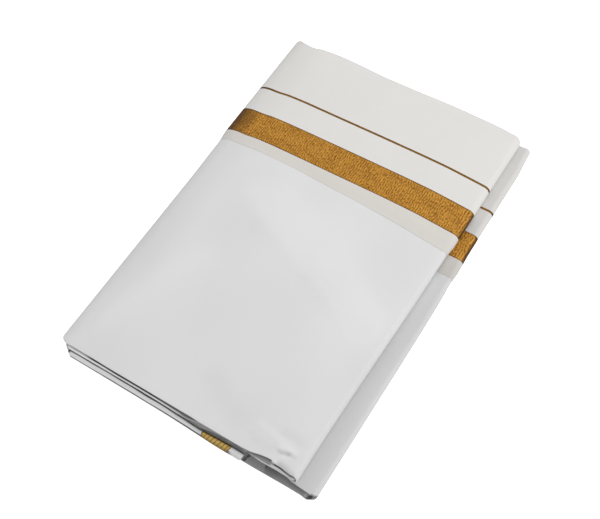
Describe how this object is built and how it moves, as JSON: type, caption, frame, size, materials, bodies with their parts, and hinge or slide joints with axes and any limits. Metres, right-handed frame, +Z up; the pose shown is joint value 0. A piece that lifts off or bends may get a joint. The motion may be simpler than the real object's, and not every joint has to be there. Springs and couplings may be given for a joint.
{
  "type": "folded dhoti cloth",
  "caption": "White cotton dhoti cloth folded into a flat pad, its border turned back on top with a gold band and a thin gold line, one round spine and layered open edges",
  "frame": {"origin": "on the surface the cloth lies on, under the middle of its box", "axes": "+Z up, +Y along the folded pad towards the far fold with the border, +X across it towards the open folds"},
  "size_m": [0.2624, 0.3892, 0.0213],
  "materials": {
    "white_cotton": "fine plain-woven cotton, pressed, matte with a soft sheen",
    "selvedge_cotton": "the same cotton, a little warmer at the woven edge",
    "gold_zari": "gold metallic yarn woven in fine cross ribs, silky"
  },
  "bodies": {
    "root": {"cover_panel": "white_cotton", "hidden_layers": "white_cotton", "flap_fold": "white_cotton", "flap_zari_line": "gold_zari", "flap_plain": "white_cotton", "flap_zari_band": "gold_zari", "flap_selvedge": "selvedge_cotton", "under_turn": "white_cotton", "end_strip": "white_cotton", "end_zari_band": "gold_zari", "end_margin": "selvedge_cotton"}
  },
  "joints": []
}
